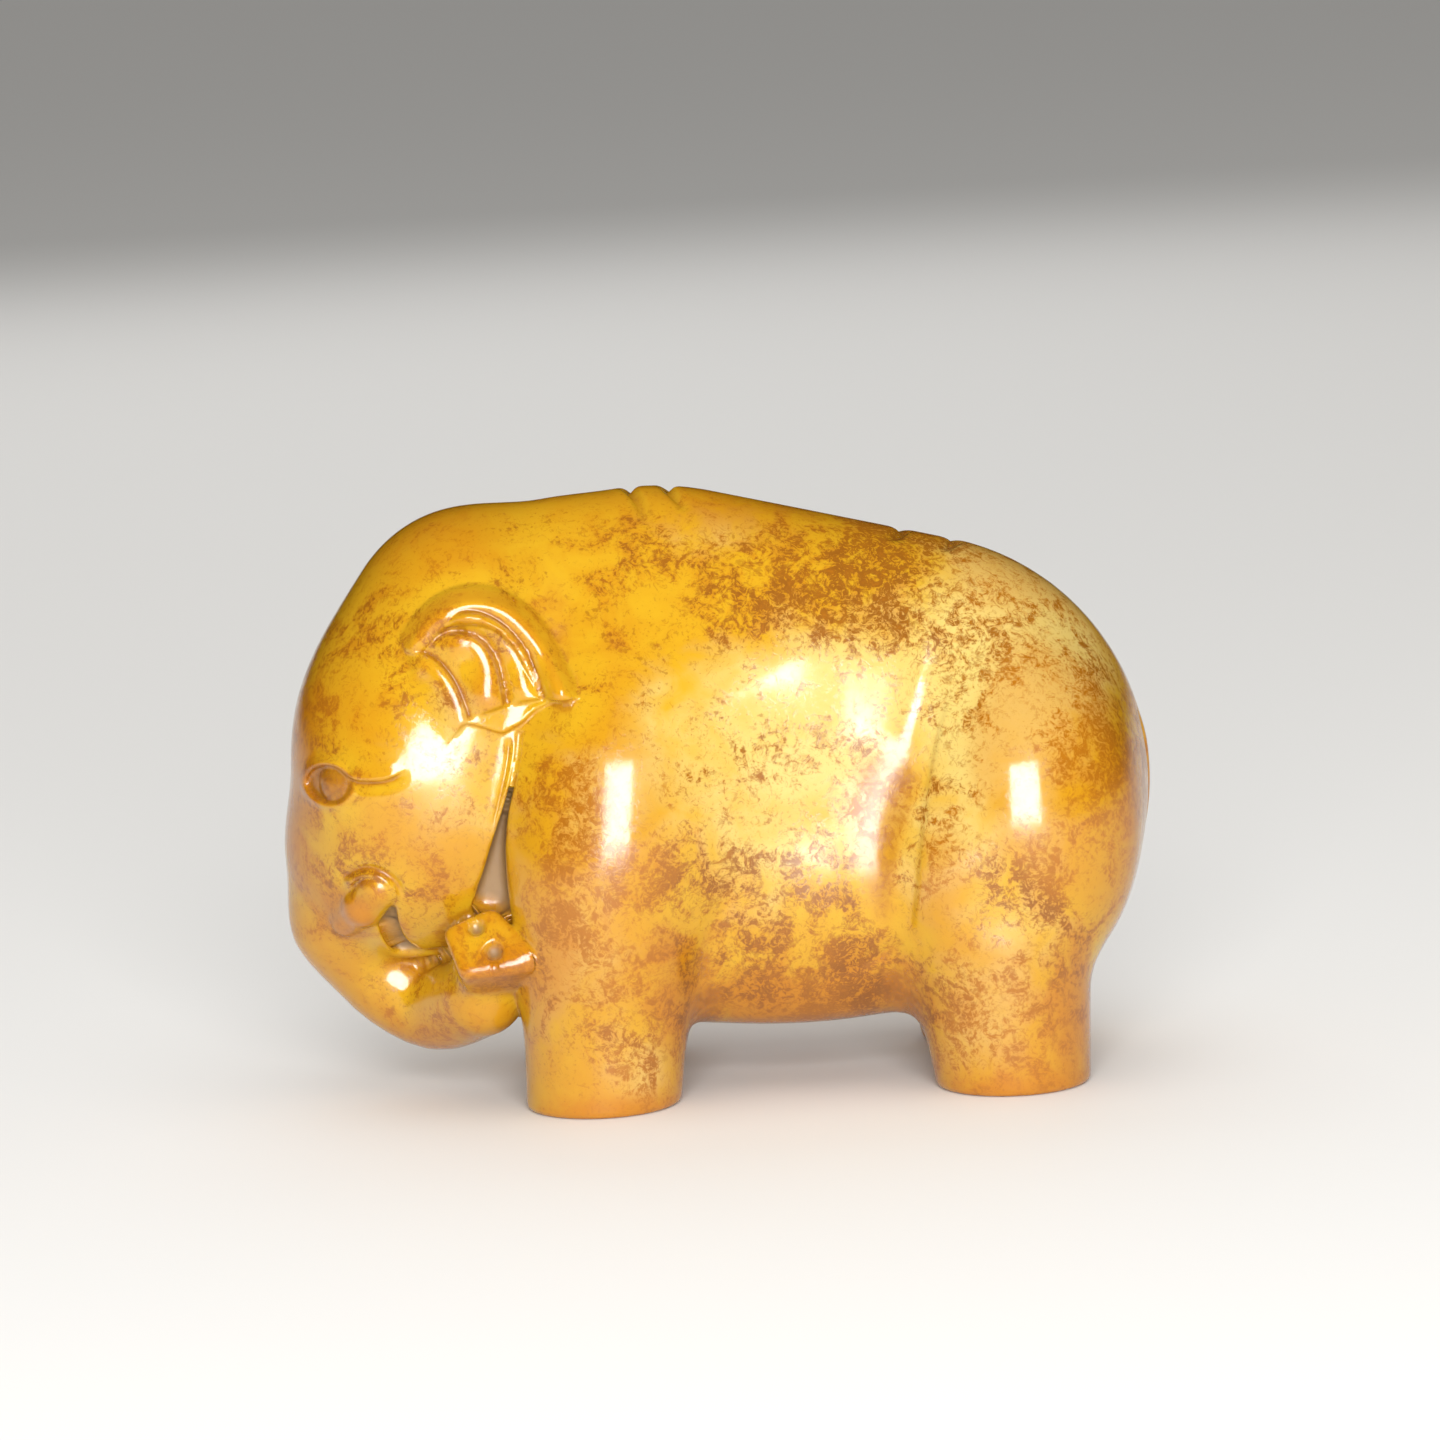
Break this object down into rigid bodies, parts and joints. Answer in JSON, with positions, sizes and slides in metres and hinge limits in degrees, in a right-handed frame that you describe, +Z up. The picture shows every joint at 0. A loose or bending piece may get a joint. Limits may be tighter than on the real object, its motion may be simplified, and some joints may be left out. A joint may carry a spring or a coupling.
{
  "type": "elephant carving",
  "caption": "Small standing elephant carved in one piece from polished yellow jade, its trunk curled to one side against a foreleg.",
  "frame": {"origin": "on the ground under the middle of the figure", "axes": "+Z up, head toward -X, the side that the trunk curls to faces -Y"},
  "size_m": [0.066, 0.0326, 0.045],
  "materials": {
    "jade": "polished"
  },
  "bodies": {
    "root": {"elephant": "jade"}
  },
  "joints": []
}
